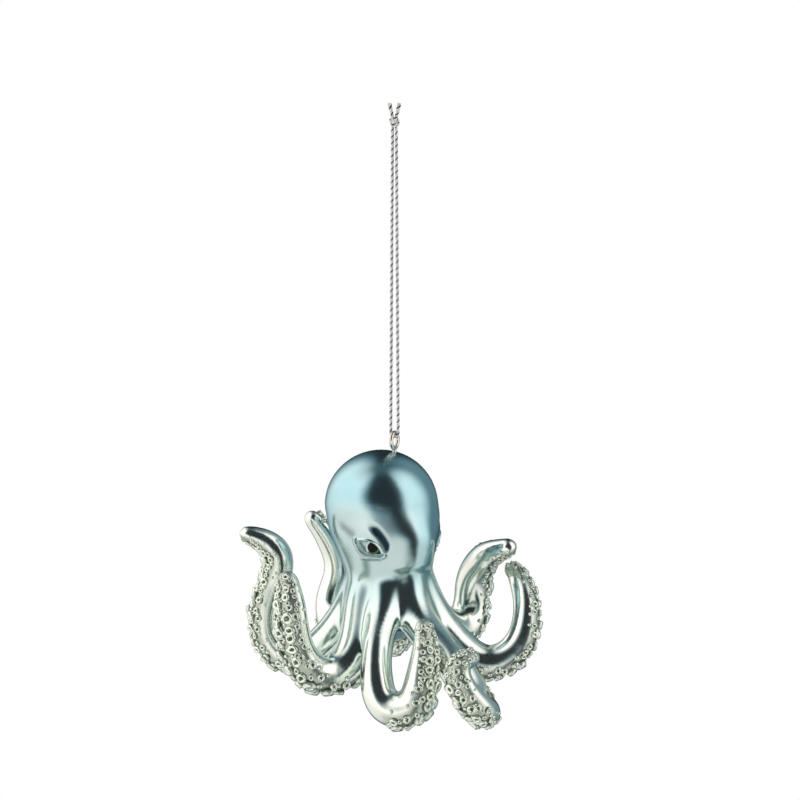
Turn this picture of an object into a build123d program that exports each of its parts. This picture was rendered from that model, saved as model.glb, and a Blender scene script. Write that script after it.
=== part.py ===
"""Hanging octopus ornament: a cast octopus on a screw eye, hung by a knotted loop of metallic cord.

Millimetres. The origin is the hanging point, under the knot at the top of the cord loop.
+Z is up, -Y faces the viewer and +X is the viewer's right.
"""

import os
from collections import namedtuple
from itertools import pairwise
from math import acos, asin, atan2, cos, hypot, pi, radians, sin, sqrt, tan

from build123d import *

# Cord loop and its knot
LOOP_DROP = 90.8  # hanging point to the middle of the screw eye
CORD_DIAMETER = 1.0
CORD_SIDES = 8
CORD_SLACK = 0.05  # between the cord and the wire that it goes round
LEG_GAP = 0.2  # between the two legs where they enter the knot
KNOT_HEIGHT = 3.0
KNOT_RADIUS = 1.75
KNOT_END_RADIUS = 1.3
KNOT_SHOULDER = 0.9  # rise from each end to the full radius
TAIL_LENGTH = 4.2
TAIL_SPREAD = 12.0  # degrees that each cut tail leans from the vertical

# Screw eye
RING_RADIUS = 2.3  # middle of the wire
WIRE_DIAMETER = 1.2
WIRE_SIDES = 10
RING_TURN = -24.0  # degrees from +X to the ring's axis, seen from above
RING_STANDOFF = 0.4  # shank showing between the head and the ring
SHANK_LENGTH = 9.0  # from the ring's middle line down into the head
SHANK_CLEARANCE = 0.05

# Head, neck and hub, with the hub's centre as the octopus's own reference
HEAD_RADIUS = 16.7
HEAD_RISE = 27.0  # hub centre up to head centre
HEAD_LEAN = -2.4  # head centre to the left of the hub centre
EYE_AHEAD = 3.85  # screw eye to the right of the head centre
HUB_SETBACK = 0.7  # hub centre behind the screw eye, so that the ornament hangs level
Ring = namedtuple("Ring", "height shift radius")
DOME_ANGLES = (7, 22, 38, 54, 72, 90)  # degrees from the crown to each ring of the dome
HEAD_SIDES = 24
NECK_RINGS = (
    Ring(20.0, -1.9, 15.9),
    Ring(13.0, -1.1, 13.8),
    Ring(6.5, -0.4, 12.1),
    Ring(0.0, 0.0, 11.6),
    Ring(-9.0, 0.0, 8.0),
)

# Eyes: flat-backed domed beads set in mounds on the head
FACE_TURN = -47.0  # degrees from +X to the way the face looks, seen from above
EYE_SPREAD = 52.0  # degrees from the face's middle to each eye
EYE_DROP = 9.6  # below the head centre
BEAD_RADIUS = 2.2
BEAD_EDGE = 1.0  # straight edge under the dome
BEAD_DOME = 0.9
BEAD_SUNK = 1.5  # seat below the crown of the mound
BEAD_CLEARANCE = 0.1
MOUND_PROUD = 1.3  # mound standing out of the head
MOUND_SIDES = 12
MOUND_RINGS = (Ring(-4.0, 0.0, 6.0), Ring(-0.9, 0.0, 4.6), Ring(0.0, 0.0, 3.2))  # heights from its crown

# Arms: roots on the neck, then hand-set spines measured from the hub centre
ROOT_RINGS = (Ring(9.0, 0.0, 6.0), Ring(0.0, 0.0, 9.5))
DORSAL_SHARE = 1.0  # height of the smooth back over the arm's half-width
VENTRAL_SHARE = 0.78  # depth of the sucker face over the arm's half-width
ARM_SECTIONS = 20
ARM_SIDES = 10
TIP_SHARE = 0.012  # of an arm's length, where its end rounds off
TIP_SIZES = (0.8, 0.4)  # of the half-width, before and at the very end
PEG_WIDTH = 3.6  # square, so that the arm can't turn
PEG_LENGTH = 4.5
PEG_CLEARANCE = 0.1
SOCKET_DEPTH = 5.0

# Suckers: two rows of cups along the outer face of each arm, sized by the arm's half-width
SUCKER_SHARE = 0.3  # cup radius over the half-width
SUCKER_ROW = 0.46  # row's distance from the middle over the half-width
SUCKER_PITCH = 5.0  # between cups of a row, in cup radii
SUCKER_LAST = 0.97  # share of the arm's length where the rows end
CUP_SIDES = 6
CUP_TOP = 0.85  # rim radius, like the sizes below in cup radii
CUP_HEIGHT = 0.6
CUP_SUNK = 0.9
DISH_RADIUS = 0.6
DISH_FLOOR = 0.3
DISH_DEPTH = 0.45

Arm = namedtuple("Arm", "root curl rolls seam suckers radii spine")
ARMS = {
    "arm_front": Arm(
        262, (0, 0), (60, -60), 7, 0.6, (6.2, 5.8, 5.0, 5.0, 5.6, 5.8, 5.2, 4.0, 2.4),
        ((-3.5, -17.5, -9.5), (-4.2, -24, -19), (-0.5, -28, -27.5), (5.5, -30, -27), (9.5, -30, -17),
         (10.3, -28, -7.5), (9.5, -26, -1.5)),
    ),
    "arm_front_right": Arm(
        308, (308, 221), (0, 0), 6, 0.45, (6.2, 6.0, 5.6, 5.4, 5.0, 4.6, 4.0, 2.6),
        ((11, -14, -8.5), (19, -24, -16), (25, -33, -25), (26.5, -41, -25.5), (22, -47, -20),
         (19, -47, -13.5), (20.5, -43, -10.5), (25, -39, -10)),
    ),
    "arm_right": Arm(
        352, (352, 372), (0, 0), 6, 0.4, (6.2, 6.4, 6.4, 5.8, 5.0, 4.4, 3.6, 2.2),
        ((19, -4, -13.5), (29, -5, -18.5), (37, -5, -14), (40.2, -3, -4.5), (39, 2, 3.2), (37, 7.5, 6.6),
         (35.4, 12, 7)),
    ),
    "arm_back_right": Arm(
        42, (42, 15), (0, 0), 6, 0.4, (6.2, 6.2, 6.4, 6.0, 5.2, 4.2, 2.6),
        ((14, 14, -9.5), (21, 22, -13.5), (24.5, 26, -8), (25, 24.5, -0.5), (26.8, 17.5, 7.3), (30, 8.5, 12),
         (36.5, 0, 15.2)),
    ),
    "arm_back": Arm(
        87, (87, 87), (0, 0), 6, 0.4, (6.2, 6.0, 5.8, 5.4, 4.8, 3.8, 2.2),
        ((0, 20, -12), (0.5, 32, -18), (1.5, 42, -13.5), (2.5, 45, -4), (3, 41, 5)),
    ),
    "arm_back_left": Arm(
        130, (130, 40), (0, 0), 6, 0.4, (6.2, 6.0, 5.6, 5.0, 4.4, 3.8, 2.6),
        ((-12, 14, -8), (-16.5, 21.5, -11), (-17.5, 26, -5), (-15.5, 27, 4), (-17.5, 27, 11.5),
         (-24.5, 24, 22)),
    ),
    "arm_left": Arm(
        178, (178, 178), (0, 0), 6, 0.4, (6.2, 6.0, 5.6, 5.2, 5.0, 4.9, 4.6, 2.2),
        ((-21, 2, -15.5), (-28.5, 4, -19), (-35.5, 5, -13.5), (-36.5, 5, -3), (-33.5, 5, 6), (-33, 4, 12),
         (-37, 3, 16.5), (-44, 2, 19)),
    ),
    "arm_front_left": Arm(
        220, (220, 238), (0, 0), 8, 0.42, (6.2, 6.0, 6.2, 6.0, 5.4, 4.8, 3.0),
        ((-11, -12, -16), (-18.5, -16.5, -20), (-24, -19, -16.5), (-27.3, -20, -9), (-28.3, -20, 0),
         (-29.2, -19, 7), (-30, -18, 11)),
    ),
}

# Places that follow from the sizes above
cord_radius = CORD_DIAMETER / 2
wire_radius = WIRE_DIAMETER / 2
ring_centre = Vector(0, 0, -LOOP_DROP)
head_top = -LOOP_DROP - RING_RADIUS - wire_radius - RING_STANDOFF  # where the shank enters the head
head_drop = sqrt(HEAD_RADIUS**2 - EYE_AHEAD**2 - HUB_SETBACK**2)
head_centre = Vector(-EYE_AHEAD, HUB_SETBACK, head_top - head_drop)
hub = head_centre - Vector(HEAD_LEAN, 0, HEAD_RISE)


def around(turn):
    """Level direction at an angle from +X, seen from above."""
    return Vector(cos(radians(turn)), sin(radians(turn)), 0)


def blend(ends, u):
    """Value between two ends at a share of the way."""
    return ends[0] + (ends[1] - ends[0]) * u


def spine_of(arm):
    """Smooth middle line of an arm, from inside the neck to the tip."""
    roots = [hub + around(arm.root) * ring.radius + Vector(0, 0, ring.height) for ring in ROOT_RINGS]
    return Spline(*roots, *(hub + Vector(*point) for point in arm.spine), mode=Mode.PRIVATE)


def half_width(arm, u):
    """Half-width of an arm at a share of its length, between its evenly spaced sizes."""
    place = u * (len(arm.radii) - 1)
    left = min(int(place), len(arm.radii) - 2)
    return arm.radii[left] + (arm.radii[left + 1] - arm.radii[left]) * (place - left)


def station(arm, spine, u):
    """Plane across an arm with its smooth back towards +Y of the plane."""
    forward = spine % u
    side = Vector(0, 0, 1).cross(around(blend(arm.curl, u)))
    side = side - forward * side.dot(forward)
    roll = blend(arm.rolls, u)
    return Plane(origin=spine @ u, x_dir=side, z_dir=forward).rotated((0, 0, roll))


def faceted(slices):
    """Solid of flat facets over slices that have equally many corners."""
    facets = [Face(Wire.make_polygon(slices[0])), Face(Wire.make_polygon(slices[-1]))]
    for near, far in pairwise(slices):
        for k in range(len(near)):
            facets.append(Face(Wire.make_polygon((near[k - 1], near[k], far[k]))))
            facets.append(Face(Wire.make_polygon((near[k - 1], far[k], far[k - 1]))))
    return Solid(Shell(facets))


def round_slice(plane, sides, ring):
    """Corners of a ring over a plane."""
    corners = []
    for k in range(sides):
        turn = 2 * pi * k / sides
        across, up = ring.radius * cos(turn), ring.radius * sin(turn)
        corners.append(plane.from_local_coords((ring.shift + across, up, ring.height)))
    return corners


def arm_slice(arm, spine, u, size=1.0):
    """Corners of an arm's D-shaped slice: a full back over a shallower sucker face."""
    plane = station(arm, spine, u)
    w = half_width(arm, u) * size
    corners = []
    for k in range(ARM_SIDES):
        turn = 2 * pi * k / ARM_SIDES
        share = DORSAL_SHARE if 2 * k < ARM_SIDES else VENTRAL_SHARE
        corners.append(plane.from_local_coords((w * cos(turn), w * share * sin(turn), 0)))
    return corners


def arm_length(arm, first, last):
    """Solid of an arm between two of its sections, rounded off at the tip."""
    spine = spine_of(arm)
    slices = [arm_slice(arm, spine, i / ARM_SECTIONS) for i in range(first, last + 1)]
    if last == ARM_SECTIONS:
        slices[-1] = arm_slice(arm, spine, 1 - TIP_SHARE, TIP_SIZES[0])
        slices.append(arm_slice(arm, spine, 1, TIP_SIZES[1]))
    return faceted(slices)


def make_cup(plane, size):
    """Sucker cup on its plane, sunk into the arm, with a dished mouth."""
    rings = (
        Ring(-CUP_SUNK * size, 0, size),
        Ring(CUP_HEIGHT * size, 0, CUP_TOP * size),
        Ring(CUP_HEIGHT * size, 0, DISH_RADIUS * size),
        Ring((CUP_HEIGHT - DISH_DEPTH) * size, 0, DISH_FLOOR * size),
    )
    return faceted([round_slice(plane, CUP_SIDES, ring) for ring in rings])


def cup_places(arm):
    """Plane and radius of each cup, in two staggered rows from the arm's middle to its tip."""
    spine = spine_of(arm)
    places = []
    u, row = arm.suckers, 1
    while u < SUCKER_LAST:
        w = half_width(arm, u)
        plane = station(arm, spine, u)
        across = row * SUCKER_ROW
        down = -VENTRAL_SHARE * sqrt(1 - across**2)
        out = plane.x_dir * across * VENTRAL_SHARE**2 + plane.y_dir * down
        seat = plane.origin + (plane.x_dir * across + plane.y_dir * down) * w
        cup_radius = SUCKER_SHARE * w
        places.append((Plane(origin=seat, x_dir=plane.z_dir, z_dir=out), cup_radius))
        u += SUCKER_PITCH * cup_radius / 2 / spine.length
        row = -row
    return places


def peg_plane(arm):
    """Seam plane of an arm, looking out along it."""
    return station(arm, spine_of(arm), arm.seam / ARM_SECTIONS)


def make_arm(arm):
    """Free length of an arm, with its suckers and the peg that keys it into the mantle."""
    with BuildPart() as piece:
        add(arm_length(arm, arm.seam, ARM_SECTIONS))
        add([make_cup(plane, size) for plane, size in cup_places(arm)], clean=False)
        with BuildSketch(peg_plane(arm)):
            Rectangle(PEG_WIDTH, PEG_WIDTH)
        extrude(amount=-PEG_LENGTH)
    return piece.part


def head_ring(height):
    """Ring of the neck at a height over the hub, between the rings given above."""
    rings = (Ring(HEAD_RISE, HEAD_LEAN, HEAD_RADIUS),) + NECK_RINGS
    for upper, lower in zip(rings, rings[1:]):
        if lower.height <= height <= upper.height:
            share = (upper.height - height) / (upper.height - lower.height)
            shift = blend((upper.shift, lower.shift), share)
            return Ring(height, shift, blend((upper.radius, lower.radius), share))


def eye_plane(turn):
    """Crown of an eye mound, looking out of the head."""
    ring = head_ring(HEAD_RISE - EYE_DROP)
    out = around(turn)
    crown = hub + Vector(ring.shift, 0, ring.height) + out * (ring.radius + MOUND_PROUD)
    return Plane(origin=crown, x_dir=(0, 0, 1), z_dir=out)


def make_bead(turn):
    """Domed eye bead on its flat back."""
    seat = eye_plane(turn).offset(-BEAD_SUNK)
    dome_radius = (BEAD_RADIUS**2 + BEAD_DOME**2) / (2 * BEAD_DOME)
    half_turn = asin(BEAD_RADIUS / dome_radius) / 2
    crown = BEAD_EDGE + BEAD_DOME
    shoulder = (dome_radius * sin(half_turn), crown - dome_radius * (1 - cos(half_turn)))
    with BuildPart() as bead:
        with BuildSketch(Plane(origin=seat.origin, x_dir=seat.x_dir, z_dir=-seat.y_dir)):
            with BuildLine():
                Polyline((0, crown), (0, 0), (BEAD_RADIUS, 0), (BEAD_RADIUS, BEAD_EDGE))
                ThreePointArc((BEAD_RADIUS, BEAD_EDGE), shoulder, (0, crown))
            make_face()
        revolve(axis=Axis(seat.origin, seat.z_dir))
    return bead.part


# Mantle: dome, neck and hub with the arm stubs, sockets for pegs and beads, and the screw's hole
eye_turns = {"right_eye": FACE_TURN - EYE_SPREAD, "left_eye": FACE_TURN + EYE_SPREAD}
dome_rings = []
for angle in DOME_ANGLES:
    rise, radius = HEAD_RADIUS * cos(radians(angle)), HEAD_RADIUS * sin(radians(angle))
    dome_rings.append(Ring(HEAD_RISE + rise, HEAD_LEAN, radius))
shank_bottom = ring_centre - Vector(0, 0, RING_RADIUS + SHANK_LENGTH)
with BuildPart() as mantle:
    add(faceted([round_slice(Plane(hub), HEAD_SIDES, ring) for ring in (*dome_rings, *NECK_RINGS)]))
    add([arm_length(arm, 0, arm.seam) for arm in ARMS.values()], clean=False)
    for turn in eye_turns.values():
        crown = eye_plane(turn)
        add(faceted([round_slice(crown, MOUND_SIDES, ring) for ring in MOUND_RINGS]), clean=False)
        with BuildSketch(crown.offset(-BEAD_SUNK)):
            Circle(BEAD_RADIUS + BEAD_CLEARANCE)
        extrude(amount=BEAD_SUNK + BEAD_EDGE, mode=Mode.SUBTRACT)
    for arm in ARMS.values():
        with BuildSketch(peg_plane(arm)):
            Rectangle(PEG_WIDTH + 2 * PEG_CLEARANCE, PEG_WIDTH + 2 * PEG_CLEARANCE)
        extrude(amount=-SOCKET_DEPTH, mode=Mode.SUBTRACT)
    with BuildSketch(Plane(shank_bottom)):
        Circle(wire_radius + SHANK_CLEARANCE)
    extrude(amount=SHANK_LENGTH, mode=Mode.SUBTRACT)

# Screw eye: a ring of wire on its shank
ring_axis = around(RING_TURN)
with BuildPart() as screw_eye:
    with BuildSketch(Plane(shank_bottom)):
        Circle(wire_radius)
    extrude(amount=SHANK_LENGTH)
    with BuildSketch(Plane(origin=ring_centre, x_dir=(0, 0, 1), z_dir=ring_axis.cross(Vector(0, 0, 1)))):
        with Locations((RING_RADIUS, 0)):
            RegularPolygon(wire_radius, WIRE_SIDES)
    revolve(axis=Axis(ring_centre, ring_axis))

# Cord loop: two taut legs and the bight round the top of the ring
bight_radius = wire_radius + cord_radius + CORD_SLACK
leg_offset = LEG_GAP / 2 + cord_radius
leg_rise = LOOP_DROP - RING_RADIUS
leg_angle = atan2(leg_rise, leg_offset) - acos(bight_radius / hypot(leg_offset, leg_rise))
foot_x, foot_y = bight_radius * cos(leg_angle), bight_radius * sin(leg_angle)
loop_plane = Plane(origin=(0, 0, -leg_rise), x_dir=ring_axis, z_dir=ring_axis.cross(Vector(0, 0, 1)))
with BuildPart() as cord_loop:
    with BuildLine(loop_plane) as route:
        Line((-leg_offset, leg_rise), (-foot_x, foot_y))
        ThreePointArc((-foot_x, foot_y), (0, -bight_radius), (foot_x, foot_y))
        Line((foot_x, foot_y), (leg_offset, leg_rise))
    with BuildSketch(Plane(origin=route.line @ 0, x_dir=ring_axis, z_dir=route.line % 0)):
        RegularPolygon(cord_radius, CORD_SIDES)
    sweep()

# Knot that closes the loop, flat where the legs and tails enter it
with BuildPart() as cord_knot:
    with BuildSketch(Plane.XZ):
        with BuildLine():
            Polyline(
                (0, 0),
                (KNOT_END_RADIUS, 0),
                (KNOT_RADIUS, KNOT_SHOULDER),
                (KNOT_RADIUS, KNOT_HEIGHT - KNOT_SHOULDER),
                (KNOT_END_RADIUS, KNOT_HEIGHT),
                (0, KNOT_HEIGHT),
                close=True,
            )
        make_face()
    revolve(axis=Axis.Z)

# Cut tails above the knot, leaning apart
with BuildPart() as cord_tails:
    for way in (-1, 1):
        for rise in (0, TAIL_LENGTH):
            reach = leg_offset + rise * tan(radians(TAIL_SPREAD))
            with BuildSketch(Plane(ring_axis * way * reach + Vector(0, 0, KNOT_HEIGHT + rise))):
                RegularPolygon(cord_radius, CORD_SIDES)
        loft(ruled=True)

pieces = {
    "mantle": mantle.part,
    "screw_eye": screw_eye.part,
    "cord_loop": cord_loop.part,
    "cord_knot": cord_knot.part,
    "cord_tails": cord_tails.part,
}
pieces.update((name, make_arm(arm)) for name, arm in ARMS.items())
pieces.update((name, make_bead(turn)) for name, turn in eye_turns.items())

os.makedirs("parts", exist_ok=True)
for name, piece in pieces.items():
    piece.label = name
    export_step(piece, f"parts/{name}.step")

octopus = [piece for name, piece in pieces.items() if not name.startswith("cord")]
weight = sum(piece.volume for piece in octopus)
middle = sum((piece.center(CenterOf.MASS) * piece.volume for piece in octopus), Vector()) / weight
print("octopus volume", round(weight), "mm3, centre of mass", middle)
print("cord length", round(sum(edge.length for edge in route.edges()), 1), "bight radius", bight_radius)
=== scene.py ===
"""Hanging octopus ornament in metallic paint, with its screw eye and a loop of twisted metallic cord."""

import random
from collections import namedtuple
from math import atan2, cos, degrees, exp, hypot, pi, radians, sin, sqrt

import bmesh
import bpy
import numpy as np
from mathutils import Matrix, Quaternion, Vector
from mathutils.bvhtree import BVHTree
from mathutils.kdtree import KDTree


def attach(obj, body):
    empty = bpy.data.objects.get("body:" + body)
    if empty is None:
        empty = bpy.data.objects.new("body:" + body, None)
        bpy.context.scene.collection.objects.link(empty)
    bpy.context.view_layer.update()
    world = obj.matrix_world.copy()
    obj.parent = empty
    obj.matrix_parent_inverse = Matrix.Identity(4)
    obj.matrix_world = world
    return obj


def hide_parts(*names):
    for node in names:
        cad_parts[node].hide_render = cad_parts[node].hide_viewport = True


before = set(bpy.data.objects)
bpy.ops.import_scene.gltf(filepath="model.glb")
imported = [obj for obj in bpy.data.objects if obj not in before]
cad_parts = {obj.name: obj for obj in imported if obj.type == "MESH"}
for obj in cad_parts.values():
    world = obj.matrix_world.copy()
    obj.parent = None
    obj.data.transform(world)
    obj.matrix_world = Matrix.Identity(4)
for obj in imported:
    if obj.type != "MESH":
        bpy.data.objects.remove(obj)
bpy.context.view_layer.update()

MM = 0.001
UP = Vector((0, 0, 1))

# Places shared with the solids, in millimetres
LOOP_DROP = 90.8
CORD_DIAMETER = 1.0
BIGHT_RADIUS = 1.15
LEG_OFFSET = 0.6
RING_RADIUS = 2.3
RING_TURN = -24.0
HEAD_CENTRE = Vector((-3.85, 0.7, -110.34))
HUB = Vector((-1.45, 0.7, -137.34))
HEAD_RADIUS = 16.7
HEAD_RISE = 27.0
FACE_TURN = -47.0
EYE_SPREAD = 52.0
EYE_DROP = 9.6

Ring = namedtuple("Ring", "height shift radius")
NECK_RINGS = (
    Ring(20.0, -1.9, 15.9),
    Ring(13.0, -1.1, 13.8),
    Ring(6.5, -0.4, 12.1),
    Ring(0.0, 0.0, 11.6),
    Ring(-9.0, 0.0, 8.0),
)
ROOT_RINGS = (Ring(9.0, 0.0, 6.0), Ring(0.0, 0.0, 9.5))
DORSAL_SHARE = 1.0
VENTRAL_SHARE = 0.78
SEAM_STEPS = 20  # an arm's length is divided in this many for its seam

Arm = namedtuple("Arm", "root curl rolls seam suckers radii spine")
ARMS = {
    "arm_front": Arm(
        262, (0, 0), (60, -60), 7, 0.6, (6.2, 5.8, 5.0, 5.0, 5.6, 5.8, 5.2, 4.0, 2.4),
        ((-3.5, -17.5, -9.5), (-4.2, -24, -19), (-0.5, -28, -27.5), (5.5, -30, -27), (9.5, -30, -17),
         (10.3, -28, -7.5), (9.5, -26, -1.5)),
    ),
    "arm_front_right": Arm(
        308, (308, 221), (0, 0), 6, 0.45, (6.2, 6.0, 5.6, 5.4, 5.0, 4.6, 4.0, 2.6),
        ((11, -14, -8.5), (19, -24, -16), (25, -33, -25), (26.5, -41, -25.5), (22, -47, -20),
         (19, -47, -13.5), (20.5, -43, -10.5), (25, -39, -10)),
    ),
    "arm_right": Arm(
        352, (352, 372), (0, 0), 6, 0.4, (6.2, 6.4, 6.4, 5.8, 5.0, 4.4, 3.6, 2.2),
        ((19, -4, -13.5), (29, -5, -18.5), (37, -5, -14), (40.2, -3, -4.5), (39, 2, 3.2), (37, 7.5, 6.6),
         (35.4, 12, 7)),
    ),
    "arm_back_right": Arm(
        42, (42, 15), (0, 0), 6, 0.4, (6.2, 6.2, 6.4, 6.0, 5.2, 4.2, 2.6),
        ((14, 14, -9.5), (21, 22, -13.5), (24.5, 26, -8), (25, 24.5, -0.5), (26.8, 17.5, 7.3),
         (30, 8.5, 12), (36.5, 0, 15.2)),
    ),
    "arm_back": Arm(
        87, (87, 87), (0, 0), 6, 0.4, (6.2, 6.0, 5.8, 5.4, 4.8, 3.8, 2.2),
        ((0, 20, -12), (0.5, 32, -18), (1.5, 42, -13.5), (2.5, 45, -4), (3, 41, 5)),
    ),
    "arm_back_left": Arm(
        130, (130, 40), (0, 0), 6, 0.4, (6.2, 6.0, 5.6, 5.0, 4.4, 3.8, 2.6),
        ((-12, 14, -8), (-16.5, 21.5, -11), (-17.5, 26, -5), (-15.5, 27, 4), (-17.5, 27, 11.5),
         (-24.5, 24, 22)),
    ),
    "arm_left": Arm(
        178, (178, 178), (0, 0), 6, 0.4, (6.2, 6.0, 5.6, 5.2, 5.0, 4.9, 4.6, 2.2),
        ((-21, 2, -15.5), (-28.5, 4, -19), (-35.5, 5, -13.5), (-36.5, 5, -3), (-33.5, 5, 6), (-33, 4, 12),
         (-37, 3, 16.5), (-44, 2, 19)),
    ),
    "arm_front_left": Arm(
        220, (220, 238), (0, 0), 8, 0.42, (6.2, 6.0, 6.2, 6.0, 5.4, 4.8, 3.0),
        ((-11, -12, -16), (-18.5, -16.5, -20), (-24, -19, -16.5), (-27.3, -20, -9), (-28.3, -20, 0),
         (-29.2, -19, 7), (-30, -18, 11)),
    ),
}

# Modelling sizes, in millimetres
VOXEL = 0.42
DOME_ANGLES = range(3, 91, 6)  # from the crown, in degrees
ARM_STATIONS = 56
ARM_SIDES = 28
HEAD_SIDES = 72
SPINE_SAMPLES = 240
FINE_STEPS = 40  # for each given point of a smooth line
TIP_CROWDING = 1.15  # stations lie closer towards the tip
TIP_FLAT = 0.02  # square of the smallest share of the width at the tip
WEB_REACH = 22.0  # from the hub's axis, where the skin is smoothed into webs
WEB_FOOT = -14.0  # over the hub, like the next
WEB_TOP = 34.0
WEB_BORDER = 6  # over which the smoothing sets in
SHARP_BEND = 0.8  # ratio of an arm's half-width to the radius of its bend
BEND_REACH = 1.5  # half-widths round a sharp bend that are smoothed
SKIN_ROUNDS = 1.4  # rounds of smoothing at a voxel of 1 mm, like the next
WEB_ROUNDS = 10.0
SEAM_REACH = 1.5  # half-widths round a seam in which the skin is cut
LIKE_NORMALS = 0.7  # least cosine of a normal to the whole skin's that replaces it
SEED = 11


def around(turn):
    """Level direction at an angle from +X, seen from above."""
    return Vector((cos(radians(turn)), sin(radians(turn)), 0))


def blend(ends, u):
    """Value between two ends at a share of the way."""
    return ends[0] + (ends[1] - ends[0]) * u


def step(low, high, value):
    """Soft step from 0 at low to 1 at high."""
    share = min(1.0, max(0.0, (value - low) / (high - low)))
    return share * share * (3 - 2 * share)


def bump(value, middle, width):
    """Bell curve of height 1."""
    return exp(-(((value - middle) / width) ** 2))


def smooth_line(points, count):
    """Places at even distances along a smooth line through points."""
    knots = np.array([list(p) for p in points], dtype=float)
    spans = np.linalg.norm(np.diff(knots, axis=0), axis=1)
    at = np.concatenate(([0], np.cumsum(spans)))
    size = len(knots)
    matrix = np.eye(size)
    right = np.zeros_like(knots)
    for i in range(1, size - 1):
        matrix[i, i - 1 : i + 2] = spans[i - 1], 2 * (spans[i - 1] + spans[i]), spans[i]
        right[i] = 6 * ((knots[i + 1] - knots[i]) / spans[i] - (knots[i] - knots[i - 1]) / spans[i - 1])
    bends = np.linalg.solve(matrix, right)
    fine = np.linspace(0, at[-1], FINE_STEPS * size)
    left = np.clip(np.searchsorted(at, fine) - 1, 0, size - 2)
    h = spans[left][:, None]
    a = (at[left + 1] - fine)[:, None] / h
    b = 1 - a
    places = a * knots[left] + b * knots[left + 1]
    places += ((a**3 - a) * bends[left] + (b**3 - b) * bends[left + 1]) * h**2 / 6
    run = np.concatenate(([0], np.cumsum(np.linalg.norm(np.diff(places, axis=0), axis=1))))
    even = np.linspace(0, run[-1], count)
    return np.stack([np.interp(even, run, places[:, axis]) for axis in range(3)], axis=1)


class ArmLine:
    """Middle line of an arm with its cross directions and half-widths."""

    def __init__(self, arm):
        roots = [HUB + around(arm.root) * ring.radius + UP * ring.height for ring in ROOT_RINGS]
        self.arm = arm
        self.places = smooth_line(roots + [HUB + Vector(p) for p in arm.spine], SPINE_SAMPLES)
        self.length = float(np.linalg.norm(np.diff(self.places, axis=0), axis=1).sum())
        self.tangents = np.gradient(self.places, axis=0)
        self.seam = arm.seam / SEAM_STEPS
        shares = np.linspace(0, 1, SPINE_SAMPLES)
        self.widths = np.array([self.width(u) for u in shares])
        self.backs = np.array([list(self.station(u).col[1].to_3d()) for u in shares])

    def width(self, u):
        radii = self.arm.radii
        return float(np.interp(u, np.linspace(0, 1, len(radii)), radii))

    def station(self, u):
        """Matrix whose X goes across the arm, Y out of its smooth back and Z along it."""
        i = min(int(round(u * (SPINE_SAMPLES - 1))), SPINE_SAMPLES - 1)
        forward = Vector(self.tangents[i]).normalized()
        side = UP.cross(around(blend(self.arm.curl, u)))
        side = (side - forward * side.dot(forward)).normalized()
        side = Quaternion(forward, radians(blend(self.arm.rolls, u))) @ side
        back = forward.cross(side)
        turn = Matrix((side, back, forward)).transposed().to_4x4()
        return Matrix.Translation(Vector(self.places[i])) @ turn

    def nearest(self, points):
        """For each point: the nearest sample of the line, and the distance to it in half-widths."""
        tree = KDTree(SPINE_SAMPLES)
        for i, place in enumerate(self.places):
            tree.insert(place, i)
        tree.balance()
        found = np.array([tree.find(point)[1:] for point in points])
        index = found[:, 0].astype(int)
        return index, found[:, 1] / self.widths[index]


LINES = {name: ArmLine(arm) for name, arm in ARMS.items()}


# Shader nodes


class Value:
    """Shader value that takes part in arithmetic."""

    def __init__(self, tree, socket):
        self.tree = tree
        self.socket = socket

    def math(self, operation, *inputs):
        return self.tree.add("ShaderNodeMath", {"operation": operation}, dict(enumerate(inputs)))

    def __add__(self, other):
        return self.math("ADD", self, other)

    def __radd__(self, other):
        return self.math("ADD", other, self)

    def __sub__(self, other):
        return self.math("SUBTRACT", self, other)

    def __rsub__(self, other):
        return self.math("SUBTRACT", other, self)

    def __mul__(self, other):
        return self.math("MULTIPLY", self, other)

    def __rmul__(self, other):
        return self.math("MULTIPLY", other, self)

    def ramp(self, low, high):
        """Soft step from 0 at low to 1 at high."""
        settings = {"interpolation_type": "SMOOTHSTEP"}
        sockets = {"Value": self, "From Min": low, "From Max": high}
        return self.tree.add("ShaderNodeMapRange", settings, sockets)


class Tree:
    """Node tree of a material or the world."""

    def __init__(self, owner):
        owner.use_nodes = True
        self.nodes = owner.node_tree.nodes
        self.links = owner.node_tree.links
        self.nodes.clear()

    def add(self, kind, settings=(), sockets=(), out=0):
        """One node: its settings first, then the values or links of its sockets."""
        node = self.nodes.new(kind)
        for key, value in dict(settings).items():
            setattr(node, key, value)
        for key, value in dict(sockets).items():
            if isinstance(value, Value):
                self.links.new(value.socket, node.inputs[key])
            else:
                node.inputs[key].default_value = value
        return Value(self, node.outputs[out]) if node.outputs else node

    def mix(self, factor, first, second):
        """Colour between two colours."""
        sockets = {0: factor, 6: first, 7: second}
        return self.add("ShaderNodeMix", {"data_type": "RGBA"}, sockets, out=2)

    def attribute(self, name):
        return self.add("ShaderNodeAttribute", {"attribute_name": name}, out="Fac")

    def noise(self, scale, detail=2.0):
        place = self.add("ShaderNodeTexCoord", out="Object")
        return self.add("ShaderNodeTexNoise", sockets={"Vector": place, "Scale": scale, "Detail": detail})

    def surface(self, **sockets):
        """Principled surface as the tree's output."""
        named = {key.replace("_", " "): value for key, value in sockets.items()}
        shader = self.add("ShaderNodeBsdfPrincipled", sockets=named)
        self.add("ShaderNodeOutputMaterial", sockets={"Surface": shader})


def colour(red, green, blue):
    return (red, green, blue, 1.0)


def new_material(name):
    material = bpy.data.materials.new(name)
    return material, Tree(material)


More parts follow.
